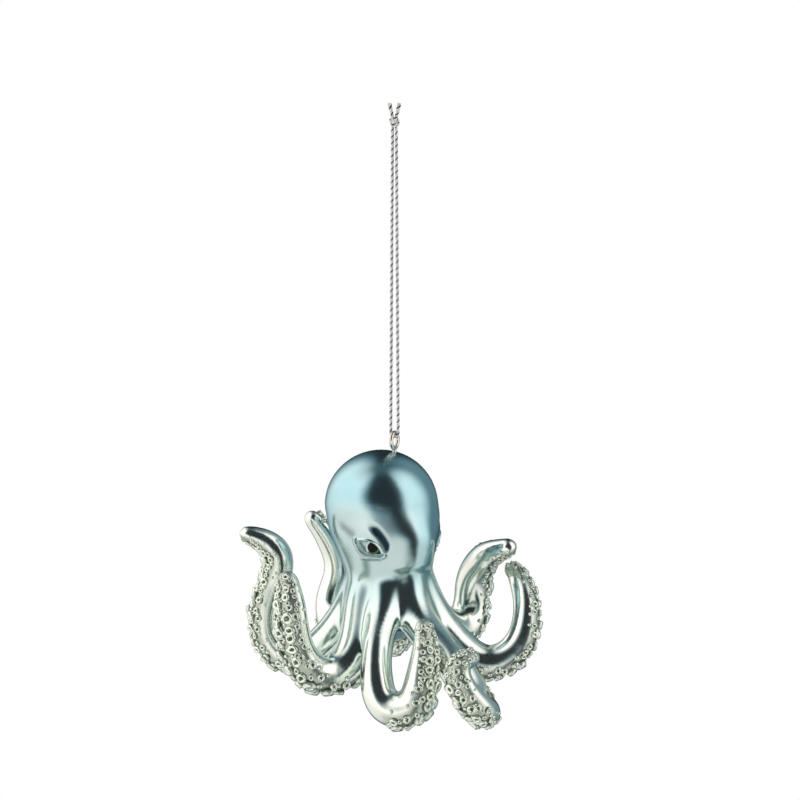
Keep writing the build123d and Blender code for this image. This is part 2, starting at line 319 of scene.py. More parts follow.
def metallic_paint(name):
    """Satin metallic paint, teal on the head and silver-mint on the arms, with painted shade in the
    hollows.
    """
    material, tree = new_material(name)
    tone = tree.attribute("tone")
    # painted shade in the hollows, creases and folds, carried by the skin's attribute
    wash = tree.attribute("wash")
    blotch = tree.noise(90.0, 3.0)
    grain = tree.noise(2600.0, 2.0)
    teal = tree.mix(blotch, colour(0.28, 0.55, 0.62), colour(0.48, 0.68, 0.71))
    mint = tree.mix(blotch, colour(0.78, 0.87, 0.79), colour(0.89, 0.93, 0.87))
    paint = tree.mix(tone, teal, mint)
    paint = tree.mix(tone.ramp(1.0, 1.5), paint, colour(0.86, 0.97, 0.8))
    # colour of the painted shade: navy on the head, olive on the arms
    shade_colour = tree.mix(tone.ramp(0.5, 1.0), colour(0.003, 0.03, 0.05), colour(0.06, 0.12, 0.05))
    base = tree.mix((wash + 0.25 * (blotch - 0.5)).ramp(0.1, 0.95), paint, shade_colour)
    normal = tree.add("ShaderNodeBump", sockets={"Strength": 0.1, "Distance": 0.0001, "Height": grain})
    tree.surface(
        Base_Color=base,
        Metallic=1.0 - 0.45 * wash - 0.5 * tone.ramp(1.0, 1.5),
        Roughness=0.18 - 0.03 * tone.ramp(0.2, 1.0) + 0.05 * blotch + 0.2 * wash,
        Normal=normal,
    )
    return material


def plated_wire():
    """Nickel-plated wire with faint draw marks."""
    material, tree = new_material("plated_wire")
    marks = tree.noise(900.0, 3.0)
    tree.surface(
        Base_Color=tree.mix(marks, colour(0.62, 0.58, 0.52), colour(0.8, 0.77, 0.72)),
        Metallic=1.0,
        Roughness=0.14 + 0.14 * marks,
    )
    return material


def metallic_thread(name, dark, light, rough):
    """Foil-wrapped thread with fine wraps along its length."""
    material, tree = new_material(name)
    wraps = tree.noise(2500.0, 2.0)
    tree.surface(
        Base_Color=tree.mix(wraps.ramp(0.35, 0.65), dark, light),
        Metallic=0.45,
        Roughness=rough + 0.15 * wraps,
        Normal=tree.add("ShaderNodeBump", sockets={"Strength": 0.4, "Distance": 0.0001, "Height": wraps}),
    )
    return material


def eye_enamel():
    """Glossy eye: black pupil in a dark green iris, white towards its outer corner and up, partly the
    white of the eye and partly a painted glint.
    """
    material, tree = new_material("eye_enamel")
    reach = tree.attribute("reach")
    streaks = tree.noise(1500.0, 2.0)
    iris = tree.mix(streaks, colour(0.03, 0.07, 0.04), colour(0.12, 0.22, 0.12))
    # white of the eye with a painted glint towards the outer corner and up
    pale = tree.mix(tree.attribute("glint").ramp(-0.1, 0.25), iris, colour(0.72, 0.82, 0.76))
    rim = (reach + 0.06 * (streaks - 0.5)).ramp(0.66, 0.72)
    tree.surface(
        Base_Color=tree.mix(rim, colour(0.004, 0.004, 0.005), pale),
        Roughness=0.22 + 0.1 * streaks,
        Specular_IOR_Level=0.15,
    )
    return material


HEAD_PAINT = metallic_paint("head_paint")
ARM_PAINT = metallic_paint("arm_paint")
WIRE = plated_wire()
SILVER_THREAD = metallic_thread("silver_thread", colour(0.58, 0.57, 0.56), colour(0.9, 0.89, 0.88), 0.25)
DARK_THREAD = metallic_thread("dark_thread", colour(0.004, 0.004, 0.005), colour(0.04, 0.04, 0.04), 0.4)
ENAMEL = eye_enamel()


# Mesh helpers; everything is modelled in millimetres and scaled once at the end


def make_object(name, mesh):
    obj = bpy.data.objects.new(name, mesh)
    bpy.context.scene.collection.objects.link(obj)
    return obj


def finish_piece(bm, name, body, node, materials, normals=None):
    """Named piece in metres from a bmesh in millimetres, riding on its body in its node's place."""
    bmesh.ops.scale(bm, vec=(MM, MM, MM), verts=bm.verts)
    mesh = bpy.data.meshes.new(name)
    bm.to_mesh(mesh)
    bm.free()
    mesh.shade_smooth()
    for material in materials:
        mesh.materials.append(material)
    if normals is not None:
        mesh.normals_split_custom_set(normals(mesh))
    piece = make_object(name, mesh)
    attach(piece, body)
    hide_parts(node)
    return piece


def add_loop(bm, sides, matrix, dorsal=1.0, ventral=1.0):
    """Closed loop of edges round a station, with its two halves flattened by their shares."""
    verts = bmesh.ops.create_circle(bm, segments=sides, radius=1.0)["verts"]
    for vert in verts:
        vert.co.y *= dorsal if vert.co.y > 0 else ventral
    bmesh.ops.transform(bm, matrix=matrix, verts=verts)
    return list({edge for vert in verts for edge in vert.link_edges})


def add_skin(bm, loops):
    """Closed skin over a row of loops."""
    for near, far in zip(loops, loops[1:]):
        bmesh.ops.bridge_loops(bm, edges=near + far)
    for end in (loops[0], loops[-1]):
        bmesh.ops.holes_fill(bm, edges=end, sides=0)


def add_arm(bm, line):
    """Plain arm with a rounded tip."""
    loops = []
    for i in range(ARM_STATIONS + 1):
        u = 1 - (1 - i / ARM_STATIONS) ** TIP_CROWDING
        width = line.width(u)
        to_tip = (1 - u) * line.length / width
        size = width * sqrt(max(TIP_FLAT, 1 - (1 - min(1.0, to_tip)) ** 2))
        matrix = line.station(u) @ Matrix.Diagonal((size, size, 1, 1))
        loops.append(add_loop(bm, ARM_SIDES, matrix, DORSAL_SHARE, VENTRAL_SHARE))
    add_skin(bm, loops)


def add_head(bm):
    """Plain dome, neck and hub."""
    lean = HEAD_CENTRE.x - HUB.x
    dome = []
    for angle in DOME_ANGLES:
        height = HEAD_RISE + HEAD_RADIUS * cos(radians(angle))
        dome.append(Ring(height, lean, HEAD_RADIUS * sin(radians(angle))))
    loops = []
    for ring in (*dome, *NECK_RINGS):
        place = Matrix.Translation(HUB + Vector((ring.shift, 0, ring.height)))
        loops.append(add_loop(bm, HEAD_SIDES, place @ Matrix.Diagonal((ring.radius, ring.radius, 1, 1))))
    add_skin(bm, loops)


def fuse(bm, voxel):
    """One even skin round everything in a bmesh."""
    mesh = bpy.data.meshes.new("fuse")
    bm.to_mesh(mesh)
    bm.free()
    obj = make_object("fuse", mesh)
    modifier = obj.modifiers.new("Remesh", "REMESH")
    modifier.mode = "VOXEL"
    modifier.voxel_size = voxel
    shape = bpy.data.meshes.new_from_object(obj.evaluated_get(bpy.context.evaluated_depsgraph_get()))
    bpy.data.objects.remove(obj)
    fused = bmesh.new()
    fused.from_mesh(shape)
    bpy.data.meshes.remove(shape)
    bpy.data.meshes.remove(mesh)
    return fused


def relax(bm, verts, rounds):
    axes = {"use_axis_x": True, "use_axis_y": True, "use_axis_z": True}
    for _ in range(rounds):
        bmesh.ops.smooth_vert(bm, verts=verts, factor=0.5, **axes)


def smooth_webs(bm):
    """Smooth the webs between the arms and the insides of their sharp bends, less towards the borders."""
    sharp = []
    for line in LINES.values():
        ahead = np.gradient(line.places, axis=0)
        steps = np.linalg.norm(ahead, axis=1)[:, None]
        turning = np.linalg.norm(np.gradient(ahead / steps, axis=0) / steps, axis=1)
        bent = turning * line.widths > SHARP_BEND
        sharp.extend(zip(line.places[bent], line.widths[bent]))
    tree = KDTree(len(sharp))
    for i, (place, _) in enumerate(sharp):
        tree.insert(place, i)
    tree.balance()
    depths = {}
    for vert in bm.verts:
        place = vert.co - HUB
        depth = min(WEB_REACH - hypot(place.x, place.y), place.z - WEB_FOOT, WEB_TOP - place.z)
        if sharp:
            _, i, away = tree.find(vert.co)
            depth = max(depth, BEND_REACH * sharp[i][1] - away)
        depths[vert] = depth
    rounds = round(WEB_ROUNDS / WEB_BORDER / VOXEL**2)
    for margin in range(WEB_BORDER):
        relax(bm, [v for v, depth in depths.items() if depth > margin], rounds)


# Face: places on the head are millimetres round it from the middle of the face, and over the hub

FACE_RADIUS = 16.0  # for distances round the head at the eyes' height
FACE_FOOT = 3.0  # heights between which the face is sculpted
FACE_TOP = 40.0
EYE_HEIGHT = HEAD_RISE - EYE_DROP
EYE_SIDE = EYE_SPREAD + 2.5  # the lids lie a little behind the middle of the bead's seat
EYE_ACROSS = radians(EYE_SIDE) * FACE_RADIUS
EYE_TILT = radians(28)
EYE_LENGTH = 3.9  # half of the almond's length
EYE_OPEN = 1.55  # half of its greatest opening
EYE_LEAN = -1.6  # lean of the head at the eyes' height
EYE_SEAT = 15.5  # from the head's axis to the middle of each bead
BEAD_SIZE = (2.2, 2.2, 1.0)  # half-axes
# the white of the eye and its painted glint lie towards the outer corner and up
GLINT_OUT = 0.75  # the pale corner lies this much outward, and the next upward
GLINT_UP = 0.6
FACE_SIZES = (9.0, 5.5)  # round each eye, where the skin is made finer and finer


def eye_seat(turn):
    """Middle of the eye that looks an angle's way from +X."""
    return HUB + Vector((EYE_LEAN, 0, EYE_HEIGHT)) + around(turn) * EYE_SEAT


def face_place(co):
    """Distance round the head from the middle of the face, height over the hub and the way out."""
    rise = co.z - HUB.z
    lean = (HEAD_CENTRE.x - HUB.x) * step(0, HEAD_RISE, rise)
    out = Vector((co.x - HUB.x - lean, co.y - HUB.y, 0))
    turn = degrees(atan2(out.y, out.x)) - FACE_TURN
    turn = (turn + 180) % 360 - 180
    return radians(turn) * out.length, rise, out.normalized()


def eye_place(across, rise):
    """Place from an eye's middle: along the almond towards the nose, and across it upwards."""
    inward = EYE_ACROSS - abs(across)
    up = rise - EYE_HEIGHT
    return inward * cos(EYE_TILT) - up * sin(EYE_TILT), inward * sin(EYE_TILT) + up * cos(EYE_TILT)


def lid_distance(along, over):
    """Distance outside the almond's edge, negative within the opening."""
    if abs(along) >= EYE_LENGTH:
        return hypot(abs(along) - EYE_LENGTH, over)
    return abs(over) - EYE_OPEN * (1 - (along / EYE_LENGTH) ** 2)


def face_relief(across, rise):
    """How far the face stands out of the plain head, and how much painted shade lies in its folds."""
    along, over = eye_place(across, rise)
    edge = lid_distance(along, over)
    upper = step(-0.3, 0.5, over)
    lower = 1 - upper
    foot = 0.4 * step(9.0, 11.4, rise) + 0.6 * step(3.0, 15.0, rise)
    nose = bump(abs(across), 0, 7.0) * step(29, 17, rise) * foot
    mound = bump(hypot(along, over), 0, 5.5)
    rim = bump(edge, 0.22, 0.3)
    lower_fold = lower * bump(edge, 0.85, 0.32)
    lower_lid = lower * bump(edge, 1.5, 0.45)
    crease_line = 4.75 - 0.373 * along - 0.0387 * along**2
    ends = step(-4.4, -0.5, along) * step(6.4, 4.2, along)
    crease = bump(over, crease_line, 1.0) * ends
    shadow = bump(over, crease_line - 0.1, 0.4 + 0.9 * ends) * ends
    brow = bump(hypot(along + 2.5, over - 5.0), 0, 4.5)
    cheek = bump(over, 0.3, 1.9) * step(-3.6, -6.8, along) * step(-15.5, -10.5, along)
    opening = step(0.05, -0.7, edge)
    relief = 2.8 * nose + 0.9 * mound + 0.45 * rim - 0.35 * lower_fold + 0.3 * lower_lid
    relief += 0.5 * brow - 0.6 * crease - 0.3 * cheek - 1.0 * opening
    inward = EYE_ACROSS - abs(across)
    shade = bump(rise, EYE_HEIGHT - 4.0, 0.5) * step(-3.2, -1.5, inward) * step(4.5, 3.0, inward)
    # painted shade in the brow crease, the lower lid's fold, the cheek hollow, the eye opening and below
    # the lower lid
    wash = 1.2 * shadow + 0.5 * lower_fold + 0.5 * cheek + 0.2 * opening + 0.55 * shade
    return relief, min(1.0, wash)


def sculpt_face(bm):
    """Eyes with their lids, brows and the ridge between them, raised out of the fused skin."""
    for turn in (FACE_TURN - EYE_SIDE, FACE_TURN + EYE_SIDE):
        middle = eye_seat(turn)
        for size in FACE_SIZES:
            near = {e for v in bm.verts if (v.co - middle).length < size for e in v.link_edges}
            bmesh.ops.subdivide_edges(bm, edges=list(near), cuts=1, use_grid_fill=True, smooth=0.0)
    wash = bm.verts.layers.float.new("wash")
    for vert in bm.verts:
        if vert.co.z > HUB.z + FACE_FOOT:
            across, rise, out = face_place(vert.co)
            if out.length > 0 and rise < FACE_TOP:
                relief, depth = face_relief(across, rise)
                vert.co += out * relief
                # painted shade in the face's folds
                vert[wash] = depth


# Paint of the skin

HUB_TONE = 0.75  # tones go from the head's 0 to the arms' 1
CHEEK_TONE = 0.4
# strength of the painted shade between the suckers, on the arms' undersides
UNDER_SHADE = 0.52  # between the suckers
ARM_REACH = 1.6  # half-widths from its line that an arm's paint reaches
ARM_START = 0.02  # share of its length where that paint starts


def nearest_arms(points):
    """For each point: the arm nearest in half-widths, the share along it, that distance and the lift."""
    best = np.full(len(points), np.inf)
    arm = np.zeros(len(points), dtype=int)
    sample = np.zeros(len(points), dtype=int)
    lift = np.zeros(len(points))
    for number, line in enumerate(LINES.values()):
        index, away = line.nearest(points)
        closer = away < best
        best[closer] = away[closer]
        arm[closer] = number
        sample[closer] = index[closer]
        over = np.einsum("ij,ij->i", points - line.places[index], line.backs[index])
        lift[closer] = (over / line.widths[index])[closer]
    return arm, sample / (SPINE_SAMPLES - 1), best, lift


def paint_tones(bm):
    """Head-to-arm tone and painted shade in the hollows of each point of the skin."""
    tone = bm.verts.layers.float.new("tone")
    wash = bm.verts.layers.float["wash"]
    points = np.array([list(v.co) for v in bm.verts])
    arms, shares, away, lifts = nearest_arms(points)
    starts = [line.arm.suckers for line in LINES.values()]
    for i, vert in enumerate(bm.verts):
        across, rise, _ = face_place(vert.co)
        cheek = step(33, 23, rise) * step(0, -5, across) * step(-32, -26, across)
        vert[tone] = max(HUB_TONE * step(14, -6, rise), CHEEK_TONE * cheek)
        if away[i] < ARM_REACH and shares[i] > ARM_START:
            vert[tone] = max(vert[tone], step(0.05, 0.5, shares[i]))
            start = starts[arms[i]]
            # painted shade on the arm's underside between the suckers
            under = step(0.1, -0.35, lifts[i]) * step(start - 0.06, start, shares[i])
            vert[wash] = max(vert[wash], UNDER_SHADE * under)


def cut_seams(bm):
    """Number of each face's piece, 0 for the mantle and then the arms, and a tree of the whole surface."""
    for line in LINES.values():
        matrix = line.station(line.seam)
        middle, along = matrix.translation, matrix.col[2].to_3d()
        reach = SEAM_REACH * line.width(line.seam)
        faces = {f for v in bm.verts if (v.co - middle).length < reach for f in v.link_faces}
        edges = {e for f in faces for e in f.edges}
        corners = {v for f in faces for v in f.verts}
        cut = bmesh.ops.bisect_plane(
            bm, geom=[*faces, *edges, *corners], dist=1e-6, plane_co=middle, plane_no=along
        )["geom_cut"]
        for item in cut:
            if isinstance(item, bmesh.types.BMEdge):
                item.seam = True
    bm.faces.ensure_lookup_table()
    bm.faces.index_update()
    owners = np.zeros(len(bm.faces), dtype=int)
    best = np.full(len(bm.faces), np.inf)
    middles = np.array([list(face.calc_center_median()) for face in bm.faces])
    surface = BVHTree.FromBMesh(bm)
    for number, line in enumerate(LINES.values(), start=1):
        front = [surface.find_nearest(Vector(line.places[-1]))[2]]
        reached = set(front)
        while front:
            face = bm.faces[front.pop()]
            for edge in face.edges:
                if not edge.seam:
                    for other in edge.link_faces:
                        if other.index not in reached:
                            reached.add(other.index)
                            front.append(other.index)
        beyond = np.array(sorted(reached))
        away = line.nearest(middles[beyond])[1]
        closer = away < best[beyond]  # where two arms touch, each keeps its own side
        owners[beyond[closer]] = number
        best[beyond[closer]] = away[closer]
    return owners, surface


def piece_of(mesh, owners, number):
    """Closed bmesh of one piece of the skin."""
    part = bmesh.new()
    part.from_mesh(mesh)
    others = [face for face, owner in zip(part.faces, owners) if owner != number]
    bmesh.ops.delete(part, geom=others, context="FACES")
    rims = [edge for edge in part.edges if edge.is_boundary]
    bmesh.ops.holes_fill(part, edges=rims, sides=0)
    bmesh.ops.triangulate(part, faces=[f for f in part.faces if len(f.verts) > 4])
    for edge in rims:
        edge.smooth = False
    return part


# Suckers

Spot = namedtuple("Spot", "across size")
SPOTS = (  # in shares of the arm's half-width and of the row's largest sucker
    Spot(0.36, 1.0),
    Spot(-0.27, 0.5),
    Spot(0.82, 0.72),
    Spot(-0.7, 0.5),
    Spot(0.04, 0.4),
    Spot(-0.98, 0.42),
)
SMALLEST_SUCKER = 0.48  # smaller spots are beads
SUCKER_SIZES = (0.25, 0.34)  # radius of a row's largest, as a share of the half-width
SUCKER_GAP = 0.94  # between rows, in that radius
SUCKER_LAST = 0.975  # share of the arm's length where the rows end
SUCKER_TONE = 1.2  # beyond 1 the paint is less metallic
SUCKER_SIDES = 10
SUCKER_LIFT = 0.3  # out of the skin, in radii, like the next
BEAD_LIFT = 0.15
STRAY_ALONG = 0.011  # share of the arm's length
STRAY_ACROSS = 0.14  # share of its half-width
STRAY_LEAN = 0.3  # of the skin's normal, along each axis
STRAY_SIZE = (0.9, 1.1)
STRAY_STRETCH = (0.8, 1.2)
# the last field is each point's painted shade: dark round the cup's foot and down in its hole, none on its
# rim
CupPoint = namedtuple("CupPoint", "radius height wash")
CUP_OUTLINE = (
    CupPoint(1.0, -0.5, 0.9),
    CupPoint(1.02, 0.1, 0.35),
    CupPoint(0.8, 0.45, 0.0),
    CupPoint(0.5, 0.3, 0.1),
    CupPoint(0.36, -0.02, 0.85),
)


def unit_sucker():
    """Rimmed cup of radius 1 on its plane, with the painted shade of each of its points."""
    bm = bmesh.new()
    wash = bm.verts.layers.float.new("wash")
    verts = []
    for point in CUP_OUTLINE:
        vert = bm.verts.new((point.radius, 0, point.height))
        vert[wash] = point.wash
        verts.append(vert)
    edges = [bm.edges.new(pair) for pair in zip(verts, verts[1:])]
    bmesh.ops.spin(
        bm, geom=verts + edges, cent=(0, 0, 0), axis=UP, angle=2 * pi, steps=SUCKER_SIDES, use_merge=True
    )
    bmesh.ops.remove_doubles(bm, verts=bm.verts, dist=1e-5)
    rims = [edge for edge in bm.edges if edge.is_boundary]
    inner = [edge for edge in rims if edge.verts[0].co.z > -0.1]
    bmesh.ops.holes_fill(bm, edges=[edge for edge in rims if edge not in inner], sides=0)
    cap = bmesh.ops.holes_fill(bm, edges=inner, sides=0)["faces"]
    hole = bmesh.ops.poke(bm, faces=cap)["verts"]
    for vert in hole:
        # painted shade deepest in the cup's hole
        vert[wash] = 1.0
    bmesh.ops.recalc_face_normals(bm, faces=bm.faces)
    mesh = bpy.data.meshes.new("unit_sucker")
    bm.to_mesh(mesh)
    bm.free()
    return mesh


def unit_bead():
    """Small round bead of radius 1, with painted shade round its foot."""
    bm = bmesh.new()
    wash = bm.verts.layers.float.new("wash")
    bmesh.ops.create_uvsphere(bm, u_segments=8, v_segments=5, radius=1.0)
    for vert in bm.verts:
        # painted shade where the bead meets the skin
        vert[wash] = step(0.3, -0.4, vert.co.z)
    mesh = bpy.data.meshes.new("unit_bead")
    bm.to_mesh(mesh)
    bm.free()
    return mesh


SUCKER = unit_sucker()
BEAD = unit_bead()


def add_suckers(part, line, skin, chance):
    """Two staggered rows of suckers on an arm, with small beads between and beside them."""
    bm = bmesh.new()
    tone = bm.verts.layers.float.new("tone")
    u, row = line.arm.suckers, 1
    while u < SUCKER_LAST:
        width = line.width(u)
        size = width * chance.uniform(*SUCKER_SIZES)
        for spot in SPOTS:
            matrix = line.station(min(1.0, u + chance.uniform(-STRAY_ALONG, STRAY_ALONG)))
            across = row * spot.across + chance.uniform(-STRAY_ACROSS, STRAY_ACROSS)
            across = max(-1.0, min(1.0, across))
            guess = matrix @ Vector((across * width, -VENTRAL_SHARE * sqrt(1 - across**2) * width, 0))
            place, normal, _, _ = skin.find_nearest(guess)
            lean = Vector([chance.uniform(-STRAY_LEAN, STRAY_LEAN) for _ in range(3)])
            turn = (normal + lean).to_track_quat("Z", "X").to_matrix().to_4x4()
            radius = size * spot.size * chance.uniform(*STRAY_SIZE)
            unit = SUCKER if spot.size > SMALLEST_SUCKER else BEAD
            lift = SUCKER_LIFT if unit is SUCKER else BEAD_LIFT
            stretch = [radius * chance.uniform(*STRAY_STRETCH) for _ in range(3)]
            scale = Matrix.Diagonal((*stretch, 1))
            copy = unit.copy()
            copy.transform(Matrix.Translation(place + normal * radius * lift) @ turn @ scale)
            bm.from_mesh(copy)
            bpy.data.meshes.remove(copy)
        u += SUCKER_GAP * size / line.length
        row = -row
    for vert in bm.verts:
        vert[tone] = SUCKER_TONE
    mesh = bpy.data.meshes.new("suckers")
    bm.to_mesh(mesh)
    bm.free()
    part.from_mesh(mesh)
    bpy.data.meshes.remove(mesh)


def whole_normals(mesh, skin_normals):
    """Corner normals taken from the whole skin, so that its pieces meet without a line."""
    origin = np.zeros(len(mesh.vertices), dtype=np.int32)
    mesh.attributes["origin"].data.foreach_get("value", origin)
    corners = np.zeros(len(mesh.loops), dtype=np.int32)
    mesh.loops.foreach_get("vertex_index", corners)
    normals = np.zeros(len(mesh.loops) * 3)
    mesh.corner_normals.foreach_get("vector", normals)
    normals = normals.reshape(-1, 3)
    taken = skin_normals[origin[corners] - 1]
    use = (origin[corners] > 0) & (np.einsum("ij,ij->i", normals, taken) > LIKE_NORMALS)
    normals[use] = taken[use]
    return normals


def make_octopus():
    """Mantle and eight arms out of one fused and sculpted skin."""
    bm = bmesh.new()
    add_head(bm)
    for line in LINES.values():
        add_arm(bm, line)
    skin = fuse(bm, VOXEL)
    relax(skin, skin.verts, round(SKIN_ROUNDS / VOXEL**2))
    smooth_webs(skin)
    sculpt_face(skin)
    paint_tones(skin)
    owners, surface = cut_seams(skin)
    skin.normal_update()
    origin = skin.verts.layers.int.new("origin")
    for i, vert in enumerate(skin.verts):
        vert[origin] = i + 1
    skin_normals = np.array([list(v.normal) for v in skin.verts])
    whole = bpy.data.meshes.new("whole")
    skin.to_mesh(whole)
    skin.free()
    chance = random.Random(SEED)
    for number, name in enumerate(("mantle", *LINES)):
        part = piece_of(whole, owners, number)
        is_arm = name in LINES
        if is_arm:
            add_suckers(part, LINES[name], surface, chance)
        finish_piece(
            part, "skin_" + name, "octopus", name,
            [ARM_PAINT if is_arm else HEAD_PAINT], lambda mesh: whole_normals(mesh, skin_normals),
        )
    bpy.data.meshes.remove(whole)


def make_eye(node, turn):
    """Low domed eye behind its lids."""
    bm = bmesh.new()
    reach = bm.verts.layers.float.new("reach")
    glint = bm.verts.layers.float.new("glint")
    bmesh.ops.create_uvsphere(bm, u_segments=40, v_segments=24, radius=1.0)
    outward = 1 if turn > FACE_TURN else -1
    for vert in bm.verts:
        vert[reach] = min(1.0, hypot(vert.co.x, vert.co.y))
        vert[glint] = GLINT_OUT * outward * vert.co.x + GLINT_UP * vert.co.y
    facing = around(turn).to_track_quat("Z", "Y").to_matrix().to_4x4()
    place = Matrix.Translation(eye_seat(turn)) @ facing
    bmesh.ops.transform(bm, matrix=place @ Matrix.Diagonal((*BEAD_SIZE, 1)), verts=bm.verts)
    finish_piece(bm, "bead_" + node, "octopus", node, [ENAMEL])


# Cord


def route_points(points):
    """Points along the smooth line that a row of control points draws."""
    curve = bpy.data.curves.new("route", "CURVE")
    curve.dimensions = "3D"
    spline = curve.splines.new("NURBS")
    spline.points.add(len(points) - 1)
    for target, point in zip(spline.points, points):
        target.co = (*(point * MM), 1)
    spline.order_u = 3
    spline.use_endpoint_u = True
    spline.resolution_u = 48
    obj = make_object("route", curve)
    mesh = bpy.data.meshes.new_from_object(obj)
    places = [vert.co.copy() for vert in mesh.vertices]
    bpy.data.objects.remove(obj)
    bpy.data.curves.remove(curve)
    bpy.data.meshes.remove(mesh)
    return places


def even_points(places, gap):
    """The same line with its points at even gaps."""
    rows = np.array([list(p) for p in places])
    run = np.concatenate(([0], np.cumsum(np.linalg.norm(np.diff(rows, axis=0), axis=1))))
    even = np.linspace(0, run[-1], max(2, int(run[-1] / gap)))
    return np.stack([np.interp(even, run, rows[:, axis]) for axis in range(3)], axis=1)


Strand = namedtuple("Strand", "material phase offset thickness")
STRANDS = (  # offsets and thicknesses are shares of the cord's radius
    Strand(SILVER_THREAD, 0.0, 0.44, 0.46),
    Strand(SILVER_THREAD, pi / 2, 0.44, 0.46),
    Strand(SILVER_THREAD, pi, 0.44, 0.46),
    Strand(DARK_THREAD, 3 * pi / 2, 0.5, 0.42),
)
CORD_PITCH = 1.85 * MM
TURN_STEPS = 10  # points along each turn of a strand
ASIDE = (0.3, 0.8, 0.1)  # a way that no route starts in
LEG_BEND = 6.0  # over the ring's top, where the legs straighten
KNOT_POINTS = 24
KNOT_START = 0.4  # angle of the knot's first point
KNOT_SPREAD = 0.36
KNOT_MIDDLE = 1.5  # over the frame's origin
KNOT_RISE = 0.95
KNOT_RADIUS = 0.6  # of the cord in the knot
TAIL_FOOT = (0.5, 2.6)  # sideways and up from the frame's origin
TAIL_TIP = (0.95, 4.1)  # sideways and up from the foot
TAIL_BEND = (-0.25, 0.2)  # along Y and up, halfway along
TAIL_SPREAD = 1.8  # of the strands at the cut


def strand_line(rows, offsets, phase):
    """Line that winds round a row of points, at its offset from each of them."""
    tangents = np.gradient(rows, axis=0)
    tangents /= np.linalg.norm(tangents, axis=1)[:, None]
    side = np.cross(tangents[0], ASIDE)
    sides = []
    for tangent in tangents:
        side = side - tangent * side.dot(tangent)
        side = side / np.linalg.norm(side)
        sides.append(side)
    sides = np.array(sides)
    turns = (np.arange(len(rows)) * 2 * pi / TURN_STEPS + phase)[:, None]
    return rows + offsets[:, None] * (np.cos(turns) * sides + np.sin(turns) * np.cross(tangents, sides))


def add_strand(bm, line, thickness, number):
    """Round strand along a line, in the material of its number."""
    curve = bpy.data.curves.new("strand", "CURVE")
    curve.dimensions = "3D"
    spline = curve.splines.new("POLY")
    spline.points.add(len(line) - 1)
    spline.points.foreach_set("co", np.hstack([line, np.ones((len(line), 1))]).astype(np.float32).ravel())
    curve.bevel_depth = thickness
    curve.bevel_resolution = 1
    curve.use_fill_caps = True
    obj = make_object("strand", curve)
    mesh = bpy.data.meshes.new_from_object(obj)
    first = len(bm.faces)
    bm.from_mesh(mesh)
    bm.faces.ensure_lookup_table()
    for face in bm.faces[first:]:
        face.material_index = number
    bpy.data.objects.remove(obj)
    bpy.data.curves.remove(curve)
    bpy.data.meshes.remove(mesh)


def twist(name, routes, radius, spread=1.0):
    """Piece of twisted cord along one or more routes, its strands spread at the far end of each."""
    bm = bmesh.new()
    for places in routes:
        rows = even_points(places, CORD_PITCH / TURN_STEPS)
        loose = np.linspace(1, spread, len(rows))
        for number, strand in enumerate(STRANDS):
            line = strand_line(rows, radius * strand.offset * loose, strand.phase)
            add_strand(bm, line, radius * strand.thickness, number)
    mesh = bpy.data.meshes.new(name)
    bm.to_mesh(mesh)
    bm.free()
    mesh.shade_smooth()
    for strand in STRANDS:
        mesh.materials.append(strand.material)
    return make_object(name, mesh)


def knot_route():
    """Line of the overhand knot."""
    points = []
    for i in range(KNOT_POINTS + 1):
        t = 2 * pi * i / KNOT_POINTS + KNOT_START
        east = KNOT_SPREAD * (sin(t) + 2 * sin(2 * t))
        north = KNOT_SPREAD * (cos(t) - 2 * cos(2 * t))
        points.append(Vector((east, north, KNOT_MIDDLE - KNOT_RISE * sin(3 * t))))
    return route_points(points)


def tail_route(side):
    """Line of the cut tail that leans to a side, -1 or 1."""
    foot = Vector((TAIL_FOOT[0] * side, 0, TAIL_FOOT[1]))
    tip = foot + Vector((TAIL_TIP[0] * side, 0, TAIL_TIP[1]))
    middle = (foot + tip) / 2 + Vector((0, TAIL_BEND[0] * side, TAIL_BEND[1]))
    return route_points([foot, middle, tip])


def make_cord():
    """Loop through the screw eye, its overhand knot and the two cut tails."""
    across = around(RING_TURN)
    ring_top = Vector((0, 0, -LOOP_DROP + RING_RADIUS))
    reach = BIGHT_RADIUS
    controls = [across * -LEG_OFFSET]
    bight = ((-1, LEG_BEND), (-1, reach), (-1, -reach), (1, -reach), (1, reach), (1, LEG_BEND))
    for side, rise in bight:
        controls.append(ring_top + across * side * reach + UP * rise)
    controls.append(across * LEG_OFFSET)
    places = route_points(controls)
    loop = twist("cord_twist", [places], CORD_DIAMETER / 2 * MM)
    knot = twist("knot_turns", [knot_route()], KNOT_RADIUS * MM)
    tails = [tail_route(side) for side in (-1, 1)]
    ends = twist("cut_tails", tails, CORD_DIAMETER / 2 * MM, spread=TAIL_SPREAD)
    for piece, node in ((loop, "cord_loop"), (knot, "cord_knot"), (ends, "cord_tails")):
        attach(piece, "cord")
        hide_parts(node)


# Studio, in metres

FLOOR_RADIUS = 1.1
FLOOR_DROP = 0.6
CAMERA_TARGET = Vector((1.6, 0, -79)) * MM
CAMERA_PITCH = radians(6)
CAMERA_DISTANCE = 0.9


